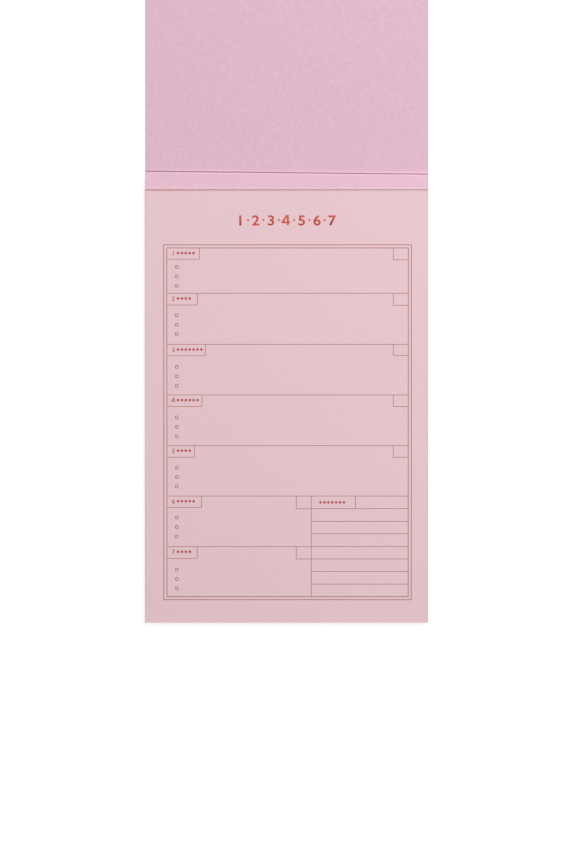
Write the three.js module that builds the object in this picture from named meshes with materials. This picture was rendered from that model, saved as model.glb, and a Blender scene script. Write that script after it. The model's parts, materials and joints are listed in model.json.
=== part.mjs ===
// Weekly list pad, in millimetres. One folded card cover wraps the back and the head of a block
// of tear-off sheets. It lies open: the front cover is flipped past the head, flat on the table.
// Origin: on the table, under the middle of the sheets. +X right, +Y towards the head, +Z up.
import * as THREE from 'three';

// Sheets
const sheetWidth = 133.35;
const sheetLength = 203.2;
const sheetCount = 52;
const sheetThickness = 0.1;
const sheetEdgeRound = 0.02; // how far the cut edge of a sheet stands out past its faces

// Board behind the sheets, and the glue that holds them together at the head
const boardThickness = 0.8;
const glueThickness = 0.3;

// Cover card
const cardThickness = 0.5;
const backFoldInnerRadius = 0.35;
const hingeLength = 10.7; // from the fold on top of the spine to the score

// Clearances
const bondGap = 0.05; // between faces that are glued or lie on each other
const closedGap = 0.2; // over the top sheet when the cover is shut
const stripGap = 0.2; // between the spine's top edge and the underside of the open hinge strip
const scoreGap = 0.25; // between the score's round edge and the front cover

// How finely round stretches are cut
const foldSegments = 12;

// Heights of the stack, from the table up
const cardHalf = cardThickness / 2;
const boardBottom = cardThickness + bondGap;
const blockBottom = boardBottom + boardThickness + bondGap;
const blockThickness = sheetCount * sheetThickness;
const blockTop = blockBottom + blockThickness;

// Distances along Y, from the middle of the sheets
const headEdge = sheetLength / 2;
const footEdge = -sheetLength / 2;
const glueStart = headEdge + bondGap;
const spineInner = glueStart + glueThickness + bondGap;
const spineOuter = spineInner + cardThickness;

// The fold on top of the spine, and how far the hinge strip slopes down from it to the table
const foldAxis = { y: spineInner + cardHalf, z: blockTop + closedGap + cardHalf };
const scoreHeight = cardHalf;
const hingeSlope = Math.asin((foldAxis.z - scoreHeight) / hingeLength);

// Shut, the front cover ends flush with the foot of the sheets
const scoreToFoot = foldAxis.y - hingeLength - footEdge;

function paperMaterial(colour, roughness) {
  return new THREE.MeshStandardMaterial({ color: colour, roughness, metalness: 0 });
}

const coverPink = () => paperMaterial(0xe0b8ca, 0.85);
const sheetPink = () => paperMaterial(0xe6c5cb, 0.9);
const boardGrey = () => paperMaterial(0x9b958c, 0.95);
const gluePeach = () => paperMaterial(0xd9aaa6, 0.55);

// A closed outline drawn in (Y, Z) and carried across the whole width of the sheets
function acrossWidth(outline) {
  const geometry = new THREE.ExtrudeGeometry(outline, {
    depth: sheetWidth,
    bevelEnabled: false,
    curveSegments: foldSegments,
  });
  const outlineToPad = new THREE.Matrix4().makeBasis(
    new THREE.Vector3(0, 1, 0),
    new THREE.Vector3(0, 0, 1),
    new THREE.Vector3(1, 0, 0),
  );
  geometry.applyMatrix4(outlineToPad);
  geometry.translate(-sheetWidth / 2, 0, 0);
  return geometry;
}

function rectangle(length, height) {
  const outline = new THREE.Shape();
  outline.moveTo(0, 0);
  outline.lineTo(length, 0);
  outline.lineTo(length, height);
  outline.lineTo(0, height);
  outline.closePath();
  return outline;
}

function namedMesh(name, outline, material) {
  const mesh = new THREE.Mesh(acrossWidth(outline), material);
  mesh.name = name;
  return mesh;
}

// Back panel, round fold at the back of the head, and the spine up the head of the block.
// The spine stops just under the fold above it, so that its outer corner clears the open strip.
function coverBackAndSpine() {
  const innerRadius = backFoldInnerRadius;
  const outerRadius = innerRadius + cardThickness;
  const foldCentre = { y: spineInner - innerRadius, z: cardThickness + innerRadius };
  const cornerDrop = (cardHalf * (1 + Math.sin(hingeSlope)) + stripGap) / Math.cos(hingeSlope);
  const spineTop = foldAxis.z - cornerDrop;
  const outline = new THREE.Shape();
  outline.moveTo(footEdge, 0);
  outline.lineTo(foldCentre.y, 0);
  outline.absarc(foldCentre.y, foldCentre.z, outerRadius, -Math.PI / 2, 0, false);
  outline.lineTo(spineOuter, spineTop);
  outline.lineTo(spineInner, spineTop);
  outline.lineTo(spineInner, foldCentre.z);
  outline.absarc(foldCentre.y, foldCentre.z, innerRadius, 0, -Math.PI / 2, true);
  outline.lineTo(footEdge, cardThickness);
  outline.closePath();
  return namedMesh('cover_back_and_spine', outline, coverPink());
}

// Board, as stiff backing under the last sheet. Its head edge clears the round of the back fold.
function backingBoard() {
  const mesh = namedMesh('backing_board', rectangle(sheetLength, boardThickness), boardGrey());
  mesh.position.set(0, footEdge, boardBottom);
  return mesh;
}

// The cut edges of the stack, read as fine lines: every sheet stands out at half its thickness
function lineSheetEdges(outline, edge, face, sheetNumbers, climb) {
  for (const number of sheetNumbers) {
    const middle = (number + 0.5) * sheetThickness;
    outline.lineTo(edge, middle);
    outline.lineTo(face, middle + climb * (sheetThickness / 2));
  }
}

// All the sheets, pressed together as one block
function sheetBlock() {
  const upwards = Array.from({ length: sheetCount }, (_, number) => number);
  const downwards = upwards.toReversed();
  const outline = new THREE.Shape();
  outline.moveTo(sheetEdgeRound, 0);
  outline.lineTo(sheetLength - sheetEdgeRound, 0);
  lineSheetEdges(outline, sheetLength, sheetLength - sheetEdgeRound, upwards, 1);
  outline.lineTo(sheetEdgeRound, blockThickness);
  lineSheetEdges(outline, 0, sheetEdgeRound, downwards, -1);
  outline.closePath();
  const mesh = namedMesh('sheet_block', outline, sheetPink());
  mesh.position.set(0, footEdge, blockBottom);
  return mesh;
}

// Film of padding glue over the head edges of the sheets
function headGlue() {
  const mesh = namedMesh('head_glue', rectangle(glueThickness, blockThickness), gluePeach());
  mesh.position.set(0, glueStart, blockBottom);
  return mesh;
}

// Strip of the cover between the fold on the spine and the score, round about both of them.
// It runs along +Y from the fold, which is its own origin.
function hingeStrip() {
  const outline = new THREE.Shape();
  outline.absarc(0, 0, cardHalf, Math.PI / 2, (Math.PI * 3) / 2, false);
  outline.absarc(hingeLength, 0, cardHalf, -Math.PI / 2, Math.PI / 2, false);
  outline.closePath();
  return namedMesh('hinge_strip', outline, coverPink());
}

// Front cover, from the score to its free edge, with the score as its own origin
function frontCover() {
  const start = cardHalf + scoreGap;
  const mesh = namedMesh('front_cover', rectangle(scoreToFoot - start, cardThickness), coverPink());
  mesh.position.set(0, start, -cardHalf);
  return mesh;
}

// The two folds as nested groups: the strip slopes down to the table, the cover levels out again
function openCover() {
  const score = new THREE.Group();
  score.position.set(0, hingeLength, 0);
  score.rotation.x = hingeSlope;
  score.add(frontCover());

  const fold = new THREE.Group();
  fold.position.set(0, foldAxis.y, foldAxis.z);
  fold.rotation.x = -hingeSlope;
  fold.add(hingeStrip(), score);
  return fold;
}

const listPad = new THREE.Group();
listPad.add(coverBackAndSpine(), backingBoard(), sheetBlock(), headGlue(), openCover());

export default listPad;
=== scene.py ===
import bpy
import json
import math
import random
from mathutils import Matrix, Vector


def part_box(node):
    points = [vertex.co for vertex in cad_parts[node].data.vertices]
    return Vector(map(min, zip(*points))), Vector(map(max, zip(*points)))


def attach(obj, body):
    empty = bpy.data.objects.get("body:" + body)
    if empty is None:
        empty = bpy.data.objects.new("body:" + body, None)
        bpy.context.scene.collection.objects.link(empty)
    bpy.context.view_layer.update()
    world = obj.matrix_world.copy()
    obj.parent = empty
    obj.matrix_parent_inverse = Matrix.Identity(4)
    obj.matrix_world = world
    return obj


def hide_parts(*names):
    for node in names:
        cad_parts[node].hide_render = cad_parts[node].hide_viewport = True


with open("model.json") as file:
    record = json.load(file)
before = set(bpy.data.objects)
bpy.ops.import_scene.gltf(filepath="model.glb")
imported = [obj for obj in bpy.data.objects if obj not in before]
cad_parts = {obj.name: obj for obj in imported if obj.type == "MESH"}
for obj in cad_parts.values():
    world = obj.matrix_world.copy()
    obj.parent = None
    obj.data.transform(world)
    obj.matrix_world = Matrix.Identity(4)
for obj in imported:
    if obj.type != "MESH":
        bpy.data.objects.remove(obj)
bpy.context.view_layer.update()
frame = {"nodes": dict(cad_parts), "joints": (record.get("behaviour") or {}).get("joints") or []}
mm = 0.001
random.seed(52)

# where things are, read from the solids
blockLow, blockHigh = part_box("sheet_block")
backLow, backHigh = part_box("cover_back_and_spine")
stripLow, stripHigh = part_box("hinge_strip")
flapLow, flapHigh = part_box("front_cover")
folds = {joint["name"]: Vector(joint["pos_m"]) for joint in frame["joints"]}
spineFold = folds["spine_fold"]
scoreFold = folds["score_fold"]
sheetTop = blockHigh.z
cardThick = flapHigh.z - flapLow.z
cardHalf = cardThick / 2
backTop = backLow.z + cardThick  # the upper face of the back panel
spineInner = backHigh.y - cardThick  # the spine's face towards the sheets

# the top sheet's edges in the photograph, in pixels, so that other places can be read from it
photo = {
    "leftEdge": 144.88,
    "rightEdge": 428.63,
    "headEdge": 191.0,
    "footEdge": 622.5,
    "width": 576,
    "height": 864,
    "mmPerPixel": 0.4702,
}


def photoX(pixel):
    share = (pixel - photo["leftEdge"]) / (photo["rightEdge"] - photo["leftEdge"])
    return blockLow.x + share * (blockHigh.x - blockLow.x)


def photoY(pixel):
    share = (photo["footEdge"] - pixel) / (photo["footEdge"] - photo["headEdge"])
    return blockLow.y + share * (blockHigh.y - blockLow.y)


def photoLength(pixels):
    return pixels * photo["mmPerPixel"] * mm


# small helpers for modelling
def deselectAll():
    if bpy.context.object and bpy.context.object.mode != "OBJECT":
        bpy.ops.object.mode_set(mode="OBJECT")
    bpy.ops.object.select_all(action="DESELECT")


def makeActive(piece):
    deselectAll()
    piece.select_set(True)
    bpy.context.view_layer.objects.active = piece


def applyPlace(piece):
    makeActive(piece)
    bpy.ops.object.transform_apply(location=True, rotation=True, scale=True)


def addBlock(name, low, high):
    deselectAll()
    middle = (Vector(low) + Vector(high)) / 2
    bpy.ops.mesh.primitive_cube_add(size=1, location=middle, scale=Vector(high) - Vector(low))
    block = bpy.context.object
    block.name = name
    block.data.name = name
    applyPlace(block)
    return block


def editAll(piece):
    makeActive(piece)
    bpy.ops.object.mode_set(mode="EDIT")
    bpy.ops.mesh.select_all(action="SELECT")


def editNone(piece, kind):
    makeActive(piece)
    bpy.ops.object.mode_set(mode="EDIT")
    bpy.ops.mesh.select_mode(type=kind)
    bpy.ops.mesh.select_all(action="DESELECT")


def endEdit():
    bpy.ops.object.mode_set(mode="OBJECT")


def selectEdges(piece, wanted):
    editNone(piece, "EDGE")
    endEdit()
    points = piece.data.vertices
    for edge in piece.data.edges:
        ends = [points[i].co for i in edge.vertices]
        edge.select = wanted(*ends)
    bpy.ops.object.mode_set(mode="EDIT")


def selectFaces(piece, wanted):
    editNone(piece, "FACE")
    endEdit()
    for face in piece.data.polygons:
        face.select = wanted(face.center, face.normal)
    bpy.ops.object.mode_set(mode="EDIT")


# how near two places count as one, and which points are merged after a bevel
samePlace = 0.02 * mm
mergeGap = 0.002 * mm


def nearly(a, b):
    return abs(a - b) < samePlace


def roundEdgesAt(piece, places, radius, segments):
    # bevels the edges that run across the pad at the given (y, z) places
    def wanted(a, b):
        return any(
            nearly(a.y, y) and nearly(b.y, y) and nearly(a.z, z) and nearly(b.z, z)
            for y, z in places
        )

    selectEdges(piece, wanted)
    bpy.ops.mesh.bevel(offset=radius, segments=segments, affect="EDGES", clamp_overlap=False)
    bpy.ops.mesh.select_all(action="SELECT")
    bpy.ops.mesh.remove_doubles(threshold=mergeGap)
    bpy.ops.mesh.normals_make_consistent(inside=False)
    endEdit()


# a small bevel on every cut edge, with the big faces kept flat in the shading
softEdge = {
    "segments": 2,
    "bevelFrom": math.radians(50),
    "smoothUpTo": math.radians(30),
    "faceWeight": 100,
}


def softenCutEdges(piece, width):
    makeActive(piece)
    bevel = piece.modifiers.new("cutEdge", "BEVEL")
    bevel.width = width
    bevel.segments = softEdge["segments"]
    bevel.limit_method = "ANGLE"
    bevel.angle_limit = softEdge["bevelFrom"]
    bpy.ops.object.modifier_apply(modifier=bevel.name)
    bpy.ops.object.shade_smooth_by_angle(angle=softEdge["smoothUpTo"])
    weighted = piece.modifiers.new("flatFaces", "WEIGHTED_NORMAL")
    weighted.mode = "FACE_AREA"
    weighted.weight = softEdge["faceWeight"]
    weighted.keep_sharp = True
    bpy.ops.object.modifier_apply(modifier=weighted.name)


def copyMoved(piece, across, along, upwards=0):
    twin = piece.copy()
    twin.data = piece.data.copy()
    bpy.context.scene.collection.objects.link(twin)
    twin.location = (across, along, upwards)
    applyPlace(twin)
    return twin


def joinPieces(name, parts):
    deselectAll()
    for part in parts:
        part.select_set(True)
    bpy.context.view_layer.objects.active = parts[0]
    bpy.ops.object.join()
    joined = bpy.context.object
    joined.name = name
    joined.data.name = name
    return joined


def paint(piece, material):
    piece.data.materials.clear()
    piece.data.materials.append(material)


# small helpers for materials
def srgb(red, green, blue):
    # levels of 255, as a picture has them, made linear by the usual sRGB curve
    def linear(level):
        share = level / 255
        return share / 12.92 if share <= 0.04045 else ((share + 0.055) / 1.055) ** 2.4

    return (linear(red), linear(green), linear(blue), 1)


def newGroup(name, inputs, outputs):
    group = bpy.data.node_groups.new(name, "ShaderNodeTree")
    for label, kind, value in inputs:
        socket = group.interface.new_socket(label, in_out="INPUT", socket_type=kind)
        if value is not None:
            socket.default_value = value
    for label in outputs:
        group.interface.new_socket(label, in_out="OUTPUT", socket_type="NodeSocketFloat")
    return group, group.nodes.new("NodeGroupInput"), group.nodes.new("NodeGroupOutput")


def feed(tree, value, socket):
    # a plain value is set on the socket, another node's output is linked to it
    if isinstance(value, (int, float, tuple)):
        socket.default_value = value
    else:
        tree.links.new(value, socket)


def mathNode(tree, operation, *values, clamp=False):
    node = tree.nodes.new("ShaderNodeMath")
    node.operation = operation
    node.use_clamp = clamp
    for value, socket in zip(values, node.inputs):
        feed(tree, value, socket)
    return node.outputs[0]


def noiseNode(tree, vector, scale=1.0, detail=2.0, roughness=0.6):
    node = tree.nodes.new("ShaderNodeTexNoise")
    feed(tree, vector, node.inputs["Vector"])
    feed(tree, scale, node.inputs["Scale"])
    feed(tree, detail, node.inputs["Detail"])
    feed(tree, roughness, node.inputs["Roughness"])
    return node.outputs["Fac"]


def stretched(tree, vector, scale, turn=0.0):
    node = tree.nodes.new("ShaderNodeMapping")
    node.inputs["Scale"].default_value = scale
    node.inputs["Rotation"].default_value = (0, 0, turn)
    tree.links.new(vector, node.inputs["Vector"])
    return node.outputs[0]


def splitAxes(tree, vector):
    node = tree.nodes.new("ShaderNodeSeparateXYZ")
    tree.links.new(vector, node.inputs[0])
    return node.outputs


noiseMiddle = 0.5  # what a noise averages


def swingAbout(tree, source, middle, amount, clamp=False):
    # how far a value is off its middle, times an amount
    offMiddle = mathNode(tree, "SUBTRACT", source, middle)
    return mathNode(tree, "MULTIPLY", offMiddle, amount, clamp=clamp)


def fadeOut(tree, distance, reach):
    # 1 at no distance, down to 0 at the reach and past it
    return mathNode(tree, "SUBTRACT", 1.0, mathNode(tree, "DIVIDE", distance, reach), clamp=True)


# what paper is made of; each material sets how strong these are
fibreLook = {
    "stretchX": (260, 2100, 2100),
    "turnX": 0.35,
    "stretchY": (1900, 300, 1900),
    "turnY": 0.8,
    "middle": 0.58,  # the greater of two noises averages more than one does
    "relief": 0.7,
    "cloudScale": 26.0,
}


def buildPaperGrain():
    # mottle, short fibres and slow clouds of an uncoated paper
    group, given, result = newGroup(
        "paperGrain",
        [
            ("Vector", "NodeSocketVector", None),
            ("Grain Scale", "NodeSocketFloat", 1100.0),
            ("Grain", "NodeSocketFloat", 0.05),
            ("Fibre", "NodeSocketFloat", 0.03),
            ("Cloud", "NodeSocketFloat", 0.02),
        ],
        ["Shade", "Height"],
    )
    spot = given.outputs["Vector"]
    grain = noiseNode(group, spot, given.outputs["Grain Scale"], detail=3.0, roughness=0.65)
    alongX = noiseNode(group, stretched(group, spot, fibreLook["stretchX"], fibreLook["turnX"]))
    alongY = noiseNode(group, stretched(group, spot, fibreLook["stretchY"], fibreLook["turnY"]))
    fibres = mathNode(group, "MAXIMUM", alongX, alongY)
    cloud = noiseNode(group, spot, fibreLook["cloudScale"], roughness=0.5)
    shade = 1.0
    for source, middle, amount in (
        (grain, noiseMiddle, "Grain"),
        (fibres, fibreLook["middle"], "Fibre"),
        (cloud, noiseMiddle, "Cloud"),
    ):
        swing = swingAbout(group, source, middle, given.outputs[amount])
        shade = mathNode(group, "ADD", swing, shade)
    group.links.new(shade, result.inputs["Shade"])
    relief = mathNode(group, "MULTIPLY_ADD", fibres, fibreLook["relief"], grain)
    group.links.new(relief, result.inputs["Height"])
    return group


# how far a pressed line strays from straight, and over what length
strayLook = {
    "stretch": (1, 0.05, 0.05),
    "scale": 90.0,
    "amount": 0.35 * mm,
}


def buildFoldMark():
    # a line across the pad along a fold: painted shade in its valley and a painted highlight on
    # both its lips
    group, given, result = newGroup(
        "foldShading",
        [
            ("Vector", "NodeSocketVector", None),
            ("Line Y", "NodeSocketFloat", 0.0),
            ("Skew", "NodeSocketFloat", 0.0),
            ("Valley", "NodeSocketFloat", 0.3 * mm),
            ("Lip", "NodeSocketFloat", 0.6 * mm),
        ],
        ["Valley", "Lip"],
    )
    spot = given.outputs["Vector"]
    axes = splitAxes(group, spot)
    drawnOut = stretched(group, spot, strayLook["stretch"])
    stray = noiseNode(group, drawnOut, strayLook["scale"], detail=3.0)
    shift = swingAbout(group, stray, noiseMiddle, strayLook["amount"])
    slope = mathNode(group, "MULTIPLY_ADD", axes["X"], given.outputs["Skew"], shift)
    line = mathNode(group, "ADD", slope, given.outputs["Line Y"])
    away = mathNode(group, "ABSOLUTE", mathNode(group, "SUBTRACT", axes["Y"], line))
    offLip = mathNode(group, "ABSOLUTE", mathNode(group, "SUBTRACT", away, given.outputs["Lip"]))
    group.links.new(fadeOut(group, away, given.outputs["Valley"]), result.inputs["Valley"])
    group.links.new(fadeOut(group, offLip, given.outputs["Lip"]), result.inputs["Lip"])
    return group


def buildCutRim():
    # 1 along the two long cut sides, where painted shade darkens the paper's edges
    group, given, result = newGroup(
        "rimShadeMask",
        [
            ("Vector", "NodeSocketVector", None),
            ("Half Width", "NodeSocketFloat", 0.06),
            ("Band", "NodeSocketFloat", 0.4 * mm),
        ],
        ["Rim"],
    )
    side = mathNode(group, "ABSOLUTE", splitAxes(group, given.outputs["Vector"])["X"])
    inwards = mathNode(group, "SUBTRACT", given.outputs["Half Width"], side)
    rim = fadeOut(group, inwards, given.outputs["Band"])
    group.links.new(mathNode(group, "SQRT", rim), result.inputs["Rim"])
    return group


def buildInkSoak():
    # 0 where the ink lies full, 1 where the paper has drunk it
    group, given, result = newGroup(
        "inkSoak",
        [
            ("Vector", "NodeSocketVector", None),
            ("Speckle Scale", "NodeSocketFloat", 2600.0),
            ("Contrast", "NodeSocketFloat", 2.2),
            ("Starved", "NodeSocketFloat", 0.12),
        ],
        ["Mask"],
    )
    uneven = noiseNode(group, given.outputs["Vector"], given.outputs["Speckle Scale"])
    speckle = swingAbout(group, uneven, noiseMiddle, given.outputs["Contrast"])
    mask = mathNode(group, "ADD", speckle, given.outputs["Starved"], clamp=True)
    group.links.new(mask, result.inputs["Mask"])
    return group


paperGrain = buildPaperGrain()
inkSoak = buildInkSoak()
foldShading = buildFoldMark()
rimShadeMask = buildCutRim()
print("node groups built")


def startMaterial(name, roughness):
    material = bpy.data.materials.new(name)
    material.use_nodes = True
    tree = material.node_tree
    shader = tree.nodes["Principled BSDF"]
    shader.inputs["Roughness"].default_value = roughness
    return material, tree, shader


def objectSpot(tree):
    return tree.nodes.new("ShaderNodeTexCoord").outputs["Object"]


def useGroup(tree, group, spot, values):
    node = tree.nodes.new("ShaderNodeGroup")
    node.node_tree = group
    for label, value in values.items():
        node.inputs[label].default_value = value
    tree.links.new(spot, node.inputs["Vector"])
    return node.outputs


def mixColour(tree, share, first, second, blend="MIX"):
    node = tree.nodes.new("ShaderNodeMix")
    node.data_type = "RGBA"
    node.blend_type = blend
    # a Mix node repeats its A, B and Result for each kind: 6, 7 and 2 are those of colours
    feed(tree, share, node.inputs[0])
    feed(tree, first, node.inputs[6])
    feed(tree, second, node.inputs[7])
    return node.outputs[2]


def shadeColour(tree, colour, shade):
    grey = tree.nodes.new("ShaderNodeCombineColor")
    for socket in grey.inputs:
        tree.links.new(shade, socket)
    return mixColour(tree, 1.0, colour, grey.outputs[0], "MULTIPLY")


def addBump(tree, shader, height, look):
    bump = tree.nodes.new("ShaderNodeBump")
    bump.inputs["Strength"].default_value = look["bumpStrength"]
    bump.inputs["Distance"].default_value = look["bumpDepth"]
    tree.links.new(height, bump.inputs["Height"])
    tree.links.new(bump.outputs[0], shader.inputs["Normal"])


def grainOf(tree, spot, look):
    return useGroup(tree, paperGrain, spot, {
        "Grain Scale": look["grainScale"],
        "Grain": look["grain"],
        "Fibre": look["fibre"],
        "Cloud": look["cloud"],
    })


# painted shade along the two long cut edges of the cover and the sheets
def dullRims(tree, spot, look, halfWidth, shade):
    rim = useGroup(tree, rimShadeMask, spot, {"Half Width": halfWidth, "Band": look["rimBand"]})
    rimShade = mathNode(tree, "MULTIPLY", rim["Rim"], look["rimShade"])
    return mathNode(tree, "SUBTRACT", shade, rimShade)


# cover card: dyed pink right through, with a soft uncoated face, and painted shade and painted
# highlights along its folds
coverLook = {
    "face": srgb(217, 178.5, 195),
    # painted shade in the score's crease
    "valleyShade": srgb(138, 84, 104),
    # painted highlight on the lips of the score and of the spine's fold
    "lipHighlight": srgb(234, 196, 211),
    "rimShade": 0.13,
    "rimBand": 0.45 * mm,
    "roughness": 0.85,
    "grain": 0.36,
    "fibre": 0.18,
    "cloud": 0.02,
    "grainScale": 1150.0,
    "bumpStrength": 0.35,
    "bumpDepth": 0.03 * mm,
    "scoreSkew": -0.0106,
    "scoreDrop": 0.38 * mm,
    "valleyHalf": 0.42 * mm,
    "lipAway": 0.62 * mm,
    "spineValleyHalf": 0.1 * mm,
    "spineLipAway": 0.434 * mm,
    # how strong the painted highlight on the lips is
    "foldHighlight": 0.6,
}


def makeCoverMaterial():
    look = coverLook
    material, tree, shader = startMaterial("coverCard", look["roughness"])
    spot = objectSpot(tree)
    grain = grainOf(tree, spot, look)
    score = useGroup(tree, foldShading, spot, {
        "Line Y": scoreFold.y - look["scoreDrop"],
        "Skew": look["scoreSkew"],
        "Valley": look["valleyHalf"],
        "Lip": look["lipAway"],
    })
    spine = useGroup(tree, foldShading, spot, {
        "Line Y": spineFold.y,
        "Valley": look["spineValleyHalf"],
        "Lip": look["spineLipAway"],
    })
    # painted highlight on the lips of both folds
    lips = mathNode(tree, "MAXIMUM", score["Lip"], spine["Lip"])
    lipHighlightShare = mathNode(tree, "MULTIPLY", lips, look["foldHighlight"])
    colour = mixColour(tree, lipHighlightShare, look["face"], look["lipHighlight"])
    # painted shade in the score's valley
    colour = mixColour(tree, score["Valley"], colour, look["valleyShade"])
    shade = dullRims(tree, spot, look, flapHigh.x, grain["Shade"])
    tree.links.new(shadeColour(tree, colour, shade), shader.inputs["Base Color"])
    addBump(tree, shader, grain["Height"], look)
    return material


# sheets: thin uncoated writing paper, a warmer and paler pink than the cover
sheetLook = {
    "face": srgb(226.5, 194.5, 200.3),
    "rimShade": 0.13,
    "rimBand": 0.45 * mm,
    "roughness": 0.9,
    "grain": 0.15,
    "fibre": 0.09,
    "cloud": 0.015,
    "grainScale": 1500.0,
    "bumpStrength": 0.25,
    "bumpDepth": 0.02 * mm,
    "layerStretch": (6, 6, 2600),
    "layerSwing": 0.5,
    "topSkin": 0.04 * mm,
    # a pinker, darker band along the head, weaker to the right
    "headBand": srgb(214, 160, 152),
    "headBandDepth": 0.5 * mm,
    "headBandRamp": 0.3 * mm,
    "headBandMiddle": 0.62,
    "headBandFade": 5.0,
}


def makeSheetMaterial():
    look = sheetLook
    material, tree, shader = startMaterial("sheetPaper", look["roughness"])
    spot = objectSpot(tree)
    axes = splitAxes(tree, spot)
    grain = grainOf(tree, spot, look)
    # the single sheets show as layers on the cut sides, but not on the top one's face
    level = stretched(tree, spot, look["layerStretch"])
    layers = noiseNode(tree, level, detail=3.0, roughness=0.75)
    swing = swingAbout(tree, layers, noiseMiddle, look["layerSwing"])
    inStack = mathNode(tree, "LESS_THAN", axes["Z"], sheetTop - look["topSkin"])
    layered = mathNode(tree, "MULTIPLY_ADD", swing, inStack, grain["Shade"])
    shade = dullRims(tree, spot, look, blockHigh.x, layered)
    # a pinker, darker band along the head, weaker to the right
    intoBand = mathNode(tree, "SUBTRACT", axes["Y"], blockHigh.y - look["headBandDepth"])
    headBand = mathNode(tree, "DIVIDE", intoBand, look["headBandRamp"], clamp=True)
    leftwards = mathNode(
        tree, "MULTIPLY_ADD", axes["X"], -look["headBandFade"], look["headBandMiddle"], clamp=True
    )
    headBandShare = mathNode(tree, "MULTIPLY", headBand, leftwards)
    colour = mixColour(tree, headBandShare, look["face"], look["headBand"])
    tree.links.new(shadeColour(tree, colour, shade), shader.inputs["Base Color"])
    addBump(tree, shader, grain["Height"], look)
    return material


# grey board: pressed waste paper with darker flecks
boardLook = {
    "face": srgb(168, 157, 149),
    "fleck": srgb(124, 112, 104),
    "fleckStretch": (2400, 2400, 4200),
    "fleckFrom": 0.58,
    "fleckContrast": 6.0,
    "roughness": 0.95,
    "grain": 0.2,
    "fibre": 0.16,
    "cloud": 0.08,
    "grainScale": 2100.0,
    "bumpStrength": 0.6,
    "bumpDepth": 0.05 * mm,
}


def makeBoardMaterial():
    look = boardLook
    material, tree, shader = startMaterial("greyBoard", look["roughness"])
    spot = objectSpot(tree)
    grain = grainOf(tree, spot, look)
    flecks = noiseNode(tree, stretched(tree, spot, look["fleckStretch"]), roughness=0.7)
    fleckShare = swingAbout(tree, flecks, look["fleckFrom"], look["fleckContrast"], clamp=True)
    colour = mixColour(tree, fleckShare, look["face"], look["fleck"])
    tree.links.new(shadeColour(tree, colour, grain["Shade"]), shader.inputs["Base Color"])
    addBump(tree, shader, grain["Height"], look)
    return material


# padding glue: a thin rubbery film, brushed on, with thicker and thinner places
glueLook = {
    # both colours are painted paler than the glue, as painted light against the shade in the gap
    # under the strip's roll
    "thin": srgb(255, 232, 226),
    "thick": srgb(252, 206, 192),
    "brushStretch": (60, 400, 900),
    "brushContrast": 2.0,
    "thickMiddle": 0.4,
    "darkerLeftwards": 6.0,
    "smoothest": 0.38,
    "roughSwing": 0.25,
    "bumpStrength": 0.5,
    "bumpDepth": 0.06 * mm,
}


def makeGlueMaterial():
    look = glueLook
    material, tree, shader = startMaterial("paddingGlue", look["smoothest"])
    spot = objectSpot(tree)
    across = splitAxes(tree, spot)["X"]
    brushed = noiseNode(tree, stretched(tree, spot, look["brushStretch"]), detail=3.0)
    streaks = swingAbout(tree, brushed, noiseMiddle, look["brushContrast"])
    # darker towards the left
    leftwards = mathNode(tree, "MULTIPLY_ADD", across, -look["darkerLeftwards"], look["thickMiddle"])
    thickShare = mathNode(tree, "ADD", streaks, leftwards, clamp=True)
    colour = mixColour(tree, thickShare, look["thin"], look["thick"])
    tree.links.new(colour, shader.inputs["Base Color"])
    rough = mathNode(tree, "MULTIPLY_ADD", brushed, look["roughSwing"], look["smoothest"])
    tree.links.new(rough, shader.inputs["Roughness"])
    addBump(tree, shader, brushed, look)
    return material


# ink: coral, soaked a little unevenly into the paper
boldInk = {
    "full": srgb(202, 70, 47),
    "starved": srgb(208, 104, 84),
    "starvedShare": 0.12,
    "roughness": 0.7,
}
fineInk = {
    "full": srgb(166, 98, 92),
    "starved": srgb(182, 120, 114),
    "starvedShare": 0.12,
    "roughness": 0.75,
}
smallInk = {
    "full": srgb(176, 72, 62),
    "starved": srgb(190, 102, 92),
    "starvedShare": 0.12,
    "roughness": 0.75,
}


def makeInkMaterial(name, look):
    material, tree, shader = startMaterial(name, look["roughness"])
    soak = useGroup(tree, inkSoak, objectSpot(tree), {"Starved": look["starvedShare"]})
    colour = mixColour(tree, soak["Mask"], look["full"], look["starved"])
    tree.links.new(colour, shader.inputs["Base Color"])
    return material


coverMaterial = makeCoverMaterial()
sheetMaterial = makeSheetMaterial()
boardMaterial = makeBoardMaterial()
glueMaterial = makeGlueMaterial()
boldInkMaterial = makeInkMaterial("boldInk", boldInk)
fineInkMaterial = makeInkMaterial("fineInk", fineInk)
smallInkMaterial = makeInkMaterial("smallInk", smallInk)
print("materials built")


# cover: three stretches of one card, rounded about the two folds they share
cover = {
    "roundSegments": 8,
    "tipRadius": cardHalf * 0.98,  # a hair under half the card, so that the two rounds don't meet
    "cutEdge": 0.06 * mm,
    "backFoldOuter": 0.85 * mm,
    "backFoldInner": 0.35 * mm,
    "spineInset": 0.06 * mm,
    "stripInset": 0.03 * mm,
}


def makeFlap():
    low = Vector((flapLow.x, scoreFold.y - cardHalf, flapLow.z))
    flap = addBlock("front_cover_card", low, flapHigh)
    ends = [(low.y, flapLow.z), (low.y, flapHigh.z)]
    roundEdgesAt(flap, ends, cover["tipRadius"], cover["roundSegments"])
    softenCutEdges(flap, cover["cutEdge"])
    return flap


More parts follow.
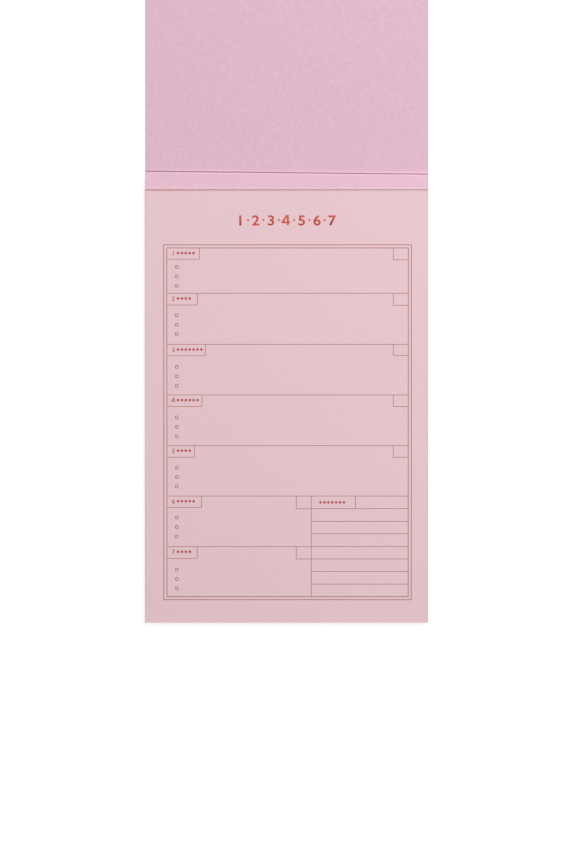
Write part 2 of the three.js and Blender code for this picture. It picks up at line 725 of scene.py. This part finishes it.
def makeStrip():
    # modelled level, running towards +Y from the spine's fold, then turned down onto the score
    length = (scoreFold - spineFold).length
    slope = math.asin((spineFold.z - scoreFold.z) / length)
    inset = cover["stripInset"]
    low = Vector((stripLow.x + inset, spineFold.y - cardHalf, spineFold.z - cardHalf))
    high = Vector((stripHigh.x - inset, spineFold.y + length + cardHalf, spineFold.z + cardHalf))
    strip = addBlock("hinge_strip_card", low, high)
    corners = [(y, z) for y in (low.y, high.y) for z in (low.z, high.z)]
    roundEdgesAt(strip, corners, cover["tipRadius"], cover["roundSegments"])
    softenCutEdges(strip, cover["cutEdge"])
    editAll(strip)
    bpy.ops.transform.rotate(value=slope, orient_axis="X", center_override=spineFold)
    endEdit()
    return strip


def makeBack():
    # back panel first, then the spine drawn up from its head end
    back = addBlock("back_cover_card", backLow, (backHigh.x, backHigh.y, backTop))
    editAll(back)
    bpy.ops.mesh.bisect(plane_co=(0, spineInner, 0), plane_no=(0, 1, 0))
    selectFaces(back, lambda centre, normal: nearly(centre.z, backTop) and centre.y > spineInner)
    spineTop = spineFold.z + cardHalf - cover["spineInset"]
    bpy.ops.mesh.extrude_region_move(TRANSFORM_OT_translate={"value": (0, 0, spineTop - backTop)})
    endEdit()
    for places, radius in (
        ([(backHigh.y, backLow.z)], cover["backFoldOuter"]),
        ([(spineInner, backTop)], cover["backFoldInner"]),
        ([(spineInner, spineTop), (backHigh.y, spineTop)], cover["tipRadius"]),
    ):
        roundEdgesAt(back, places, radius, cover["roundSegments"])
    softenCutEdges(back, cover["cutEdge"])
    return back


for piece, body, node in (
    (makeFlap(), "cover", "front_cover"),
    (makeStrip(), "strip", "hinge_strip"),
    (makeBack(), "pad", "cover_back_and_spine"),
):
    paint(piece, coverMaterial)
    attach(piece, body)
    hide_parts(node)
print("cover made")


# sheets: one cut sheet, copied up the stack, each a hair out of line with the next
stack = {
    "count": 52,
    "airShare": 0.08,
    "sideDrift": 0.035 * mm,
    "footDrift": 0.05 * mm,
    "headDrift": 0.02 * mm,
}


def makeStack():
    pitch = (blockHigh.z - blockLow.z) / stack["count"]
    thick = pitch * (1 - stack["airShare"])
    first = addBlock(
        "page_stack",
        (blockLow.x, blockLow.y, blockLow.z),
        (blockHigh.x, blockHigh.y, blockLow.z + thick),
    )
    sheets = [first]
    for number in range(1, stack["count"] - 1):
        sideways = random.uniform(-1, 1) * stack["sideDrift"]
        footwards = random.uniform(-stack["headDrift"], stack["footDrift"])
        sheets.append(copyMoved(first, sideways, -footwards, number * pitch))
    # the top sheet lies in line, with its face at the block's top
    sheets.append(copyMoved(first, 0, 0, blockHigh.z - blockLow.z - thick))
    return joinPieces("page_stack", sheets)


pageStack = makeStack()
paint(pageStack, sheetMaterial)
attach(pageStack, "pad")
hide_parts("sheet_block")
paint(frame["nodes"]["backing_board"], boardMaterial)

# glue: the brushed film stands a little proud of the sheets and reaches the spine
glueBead = {
    "gap": 0.01 * mm,
    "proud": 0.16 * mm,
    "round": 0.12 * mm,
    "roundSegments": 3,
    "cutEdge": 0.04 * mm,
}


def makeGlue():
    shortBy = glueBead["round"]
    gap = glueBead["gap"]
    low = Vector((blockLow.x + shortBy, blockHigh.y + gap, blockLow.z))
    high = Vector((blockHigh.x - shortBy, spineInner - gap, sheetTop + glueBead["proud"]))
    glue = addBlock("padding_glue_film", low, high)
    topEdges = [(low.y, high.z), (high.y, high.z)]
    roundEdgesAt(glue, topEdges, glueBead["round"], glueBead["roundSegments"])
    softenCutEdges(glue, glueBead["cutEdge"])
    return glue


glueFilm = makeGlue()
paint(glueFilm, glueMaterial)
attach(glueFilm, "pad")
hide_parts("head_glue")
print("sheets, board and glue made")


# print: every mark is a thin layer of ink on the top sheet, placed by its pixel in the photograph
ink = {
    "rule": 0.27 * mm,
    "frameRule": 0.34 * mm,
    "height": 0.012 * mm,
    "sunk": 0.008 * mm,
    "lift": 0.004 * mm,
}
inkBottom = sheetTop - ink["sunk"]
inkTop = sheetTop + ink["height"]


def raiseInk(piece, level=0):
    # a flat mark becomes a closed layer; marks that cross each other are on different levels
    rise = inkTop - inkBottom + ink["lift"] * level
    editAll(piece)
    bpy.ops.mesh.extrude_region_move(TRANSFORM_OT_translate={"value": (0, 0, rise)})
    bpy.ops.mesh.select_all(action="SELECT")
    bpy.ops.mesh.normals_make_consistent(inside=False)
    endEdit()
    return piece


def hollowOut(piece, rule):
    # keeps only a rim of the given width
    editAll(piece)
    bpy.ops.mesh.select_mode(type="FACE")
    bpy.ops.mesh.inset(thickness=rule, depth=0)
    bpy.ops.mesh.delete(type="FACE")
    endEdit()
    return piece


def addPlane(left, foot, right, head):
    deselectAll()
    middle = ((left + right) / 2, (foot + head) / 2, inkBottom)
    bpy.ops.mesh.primitive_plane_add(size=1, location=middle)
    plane = bpy.context.object
    plane.scale = (right - left, head - foot, 1)
    applyPlace(plane)
    return plane


def addDisc(xPixel, yPixel, radius, sides):
    deselectAll()
    bpy.ops.mesh.primitive_circle_add(
        vertices=sides,
        radius=radius,
        fill_type="NGON",
        location=(photoX(xPixel), photoY(yPixel), inkBottom),
    )
    disc = bpy.context.object
    applyPlace(disc)
    return disc


def ruleAcross(leftPixel, rightPixel, yPixel, rule=ink["rule"]):
    y = photoY(yPixel)
    return raiseInk(addPlane(photoX(leftPixel), y - rule / 2, photoX(rightPixel), y + rule / 2))


def ruleDown(xPixel, topPixel, footPixel, rule=ink["rule"]):
    x = photoX(xPixel)
    plane = addPlane(x - rule / 2, photoY(footPixel), x + rule / 2, photoY(topPixel))
    return raiseInk(plane, level=1)


def ruledFrame(corners):
    left, top, right, foot = corners
    half = ink["frameRule"] / 2
    plane = addPlane(
        photoX(left) - half,
        photoY(foot) - half,
        photoX(right) + half,
        photoY(top) + half,
    )
    return raiseInk(hollowOut(plane, ink["frameRule"]), level=2)


# the frame, the day blocks and the list beside the last two, in pixels
# a corner box is closed off by one rule across and one down
grid = {
    "outer": (163.7, 245.2, 411.4, 599.6),
    "inner": (166.85, 248.3, 408.3, 596.55),
    "rows": (293.6, 344.5, 395.0, 445.5, 496.0, 546.5),
    "weekdays": 5,
    "tabRights": (199.55, 197.4, 205.45, 202.0, 194.5, 201.5, 197.2),
    "tabBottoms": (259.55, 305.3, 355.9, 406.55, 457.25, 507.5, 558.4),
    "dateLeft": 393.35,
    "dateBottoms": (260.2, 305.55, 355.7, 406.6, 457.25),
    "weekendRight": 311.37,
    "weekendDateLeft": 296.3,
    "weekendDateBottoms": (508.6, 558.85),
    "listTabRight": 355.6,
    "listLines": (508.55, 521.3, 533.6, 546.45, 558.8, 571.45, 584.0),
}
rowTops = (grid["inner"][1],) + grid["rows"]
weekendTops = rowTops[grid["weekdays"]:]


def makeRules():
    left, top, right, foot = grid["inner"]
    weekendRight = grid["weekendRight"]
    marks = [ruledFrame(grid["outer"]), ruledFrame(grid["inner"])]
    for row in grid["rows"]:
        marks.append(ruleAcross(left, weekendRight if row > weekendTops[0] else right, row))
    for rowTop, tabRight, tabFoot in zip(rowTops, grid["tabRights"], grid["tabBottoms"]):
        marks.append(ruleAcross(left, tabRight, tabFoot))
        marks.append(ruleDown(tabRight, rowTop, tabFoot))
    for rowTop, boxFoot in zip(rowTops, grid["dateBottoms"]):
        marks.append(ruleAcross(grid["dateLeft"], right, boxFoot))
        marks.append(ruleDown(grid["dateLeft"], rowTop, boxFoot))
    for rowTop, boxFoot in zip(weekendTops, grid["weekendDateBottoms"]):
        marks.append(ruleAcross(grid["weekendDateLeft"], weekendRight, boxFoot))
        marks.append(ruleDown(grid["weekendDateLeft"], rowTop, boxFoot))
    marks.append(ruleDown(weekendRight, weekendTops[0], foot))
    marks.append(ruleDown(grid["listTabRight"], weekendTops[0], grid["listLines"][0]))
    for line in grid["listLines"]:
        marks.append(ruleAcross(weekendRight, right, line))
    return joinPieces("ruled_lines", marks)


# three rings to tick in each day's block
rings = {
    "x": 176.7,
    "first": (267.3, 315.5, 367.0, 417.5, 467.5, 517.5, 569.5),
    "pitch": 9.4,
    "perDay": 3,
    "radius": 0.89 * mm,
    "rule": 0.36 * mm,
    "sides": 20,
}


def makeRings():
    rows = [count * rings["pitch"] for count in range(rings["perDay"])]
    places = [first + row for first in rings["first"] for row in rows]
    ring = addDisc(rings["x"], places[0], rings["radius"], rings["sides"])
    raiseInk(hollowOut(ring, rings["rule"]))
    startY = photoY(places[0])
    twins = [copyMoved(ring, 0, photoY(place) - startY) for place in places[1:]]
    return joinPieces("tick_rings", [ring] + twins)


# the built-in numerals: their height at a size of 1, and how finely their curves are cut
numeral = {
    "capShare": 0.729,
    "curveSteps": 4,
    "mergeGap": 0.004 * mm,
}

# where the bars of a 4 are, as shares of its height
four = {
    "stem": 0.14,
    "bar": 0.27,
    "reach": 0.36,
}


def inkNumber(day, middlePixel, baselinePixel, look):
    # a plain numeral from the built-in letters, centred on its place
    deselectAll()
    bpy.ops.object.text_add(location=(0, 0, 0))
    letters = bpy.context.object.data
    letters.body = str(day)
    letters.size = photoLength(look["cap"]) / numeral["capShare"]
    letters.offset = look["bold"] * letters.size
    letters.resolution_u = numeral["curveSteps"]
    bpy.ops.object.convert(target="MESH")
    number = bpy.context.object
    number.scale = (look["widen"], 1, 1)
    applyPlace(number)
    across = [point.co.x for point in number.data.vertices]
    centre = (min(across) + max(across)) / 2
    number.location = (photoX(middlePixel) - centre, photoY(baselinePixel), inkBottom)
    applyPlace(number)
    editAll(number)
    bpy.ops.mesh.remove_doubles(threshold=numeral["mergeGap"])
    endEdit()
    return raiseInk(number)


def inkFour(middlePixel, baselinePixel, look):
    # drawn with three bars, because the built-in one closes up when it is made bold
    cap = look["cap"]
    stroke = photoLength(look["stroke"])
    top = baselinePixel - cap
    stemX = middlePixel + four["stem"] * cap
    barY = baselinePixel - four["bar"] * cap
    leftX = middlePixel - four["reach"] * cap
    rightX = middlePixel + four["reach"] * cap
    stem = ruleDown(stemX, top, baselinePixel, stroke)
    bar = ruleAcross(leftX, rightX, barY, stroke)
    start = Vector((photoX(leftX), photoY(barY) - stroke / 2, inkBottom))
    end = Vector((photoX(stemX), photoY(top) - stroke / 2, inkBottom))
    way = end - start
    slant = addPlane(start.x, start.y, start.x + way.length, start.y + stroke)
    editAll(slant)
    turn = -math.atan2(way.y, way.x)
    bpy.ops.transform.rotate(value=turn, orient_axis="Z", center_override=start)
    endEdit()
    return joinPieces("four", [stem, bar, raiseInk(slant, level=2)])


def inkDay(day, middlePixel, baselinePixel, look):
    if day == 4:
        return inkFour(middlePixel, baselinePixel, look)
    return inkNumber(day, middlePixel, baselinePixel, look)


def inkLozenges(places, radius):
    # small squares on their points
    first = addDisc(*places[0], radius, sides=4)
    raiseInk(first)
    startX, startY = photoX(places[0][0]), photoY(places[0][1])
    twins = [copyMoved(first, photoX(x) - startX, photoY(y) - startY) for x, y in places[1:]]
    return [first] + twins


# head line: the seven days' numbers with a lozenge between each two
headMarks = {
    "days": 7,
    "left": 240.4,
    "right": 332.4,
    "baseline": 225.6,
    "cap": 10.2,
    "bold": 0.02,
    "widen": 1.12,
    "stroke": 1.85,
    "lozenge": 0.62 * mm,
}


def makeHeadNumbers():
    look = headMarks
    step = (look["right"] - look["left"]) / (look["days"] - 1)
    middles = [look["left"] + step * count for count in range(look["days"])]
    numbers = [
        inkDay(day, middle, look["baseline"], look) for day, middle in enumerate(middles, start=1)
    ]
    middleY = look["baseline"] - look["cap"] / 2
    places = [(middle + step / 2, middleY) for middle in middles[:-1]]
    return joinPieces("head_numbers", numbers + inkLozenges(places, look["lozenge"]))


# tabs: each day's number and a row of lozenges that fills the tab, and a row for the list beside
tabMarks = {
    "left": 173.4,
    "drop": 7.4,
    "cap": 4.5,
    "bold": 0.012,
    "widen": 1.0,
    "stroke": 0.8,
    "lozenge": 0.78 * mm,
    "gap": 4.6,
    "pitch": 3.9,
    "margin": 4.0,
    "listLeft": 320.5,
    "listCount": 7,
    "listMiddle": 502.3,
}


def makeTabMarks():
    look = tabMarks
    numbers = []
    places = []
    for day, (tabTop, tabRight) in enumerate(zip(rowTops, grid["tabRights"]), start=1):
        baseline = tabTop + look["drop"]
        numbers.append(inkDay(day, look["left"], baseline, look))
        x = look["left"] + look["gap"]
        while x < tabRight - look["margin"]:
            places.append((x, baseline - look["cap"] / 2))
            x += look["pitch"]
    for count in range(look["listCount"]):
        places.append((look["listLeft"] + look["pitch"] * count, look["listMiddle"]))
    return joinPieces("tab_marks", numbers + inkLozenges(places, look["lozenge"]))


for piece, material in (
    (makeRules(), fineInkMaterial),
    (makeRings(), fineInkMaterial),
    (makeHeadNumbers(), boldInkMaterial),
    (makeTabMarks(), smallInkMaterial),
):
    paint(piece, material)
    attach(piece, "pad")
print("print made")


# floor, lamp and camera
studio = {
    "floorSize": 14.0,
    "floorDrop": 0.02 * mm,
    "floorColour": 0.9,
    "floorRoughness": 0.95,
    "cameraGlow": 0.64,
    "worldStrength": 0.372,
    "keyEnergy": 22.6,
    "keySize": 1.0,
    "keyPlace": (0.58, 0.77, 1.31),
    "lens": 200.0,
    "sensor": 36.0,
    "tilt": math.radians(1.1),
    "farthest": 50,
}


def makeFloor():
    deselectAll()
    place = (0, 0, -studio["floorDrop"])
    bpy.ops.mesh.primitive_plane_add(size=studio["floorSize"], location=place)
    floor = bpy.context.object
    floor.name = "floor"
    material, tree, shader = startMaterial("floorPaper", studio["floorRoughness"])
    level = studio["floorColour"]
    shader.inputs["Base Color"].default_value = (level, level, level, 1)
    shader.inputs["Emission Color"].default_value = (1, 1, 1, 1)
    rays = tree.nodes.new("ShaderNodeLightPath").outputs
    seen = mathNode(tree, "ADD", rays["Is Camera Ray"], rays["Is Glossy Ray"], clamp=True)
    glow = mathNode(tree, "MULTIPLY", seen, studio["cameraGlow"])
    tree.links.new(glow, shader.inputs["Emission Strength"])
    paint(floor, material)


def makeWorld():
    # full white where the camera sees it, dimmer as a light
    world = bpy.data.worlds.new("studioWorld")
    bpy.context.scene.world = world
    world.use_nodes = True
    tree = world.node_tree
    background = tree.nodes["Background"]
    background.inputs["Color"].default_value = (1, 1, 1, 1)
    rays = tree.nodes.new("ShaderNodeLightPath").outputs
    lit = studio["worldStrength"]
    strength = mathNode(tree, "MULTIPLY_ADD", rays["Is Camera Ray"], 1 - lit, lit)
    tree.links.new(strength, background.inputs["Strength"])


def makeKeyLamp():
    deselectAll()
    bpy.ops.object.light_add(type="AREA", location=studio["keyPlace"])
    lamp = bpy.context.object
    lamp.name = "keyLamp"
    lamp.data.energy = studio["keyEnergy"]
    lamp.data.size = studio["keySize"]
    aim = -lamp.location  # at the middle of the sheets
    lamp.rotation_euler = aim.to_track_quat("-Z", "Y").to_euler()


def makeCamera():
    # as far off as makes the photograph's height fill the picture
    distance = photoLength(photo["height"]) * studio["lens"] / studio["sensor"]
    target = Vector((photoX(photo["width"] / 2), photoY(photo["height"] / 2), sheetTop))
    back = Vector((0, math.sin(studio["tilt"]), math.cos(studio["tilt"])))
    deselectAll()
    bpy.ops.object.camera_add(location=target + back * distance)
    camera = bpy.context.object
    camera.rotation_euler = (-studio["tilt"], 0, 0)
    camera.data.lens = studio["lens"]
    camera.data.sensor_width = studio["sensor"]
    camera.data.clip_end = studio["farthest"]
    bpy.context.scene.camera = camera


makeFloor()
makeWorld()
makeKeyLamp()
makeCamera()
bpy.context.scene.view_settings.view_transform = "Standard"
print("studio made")
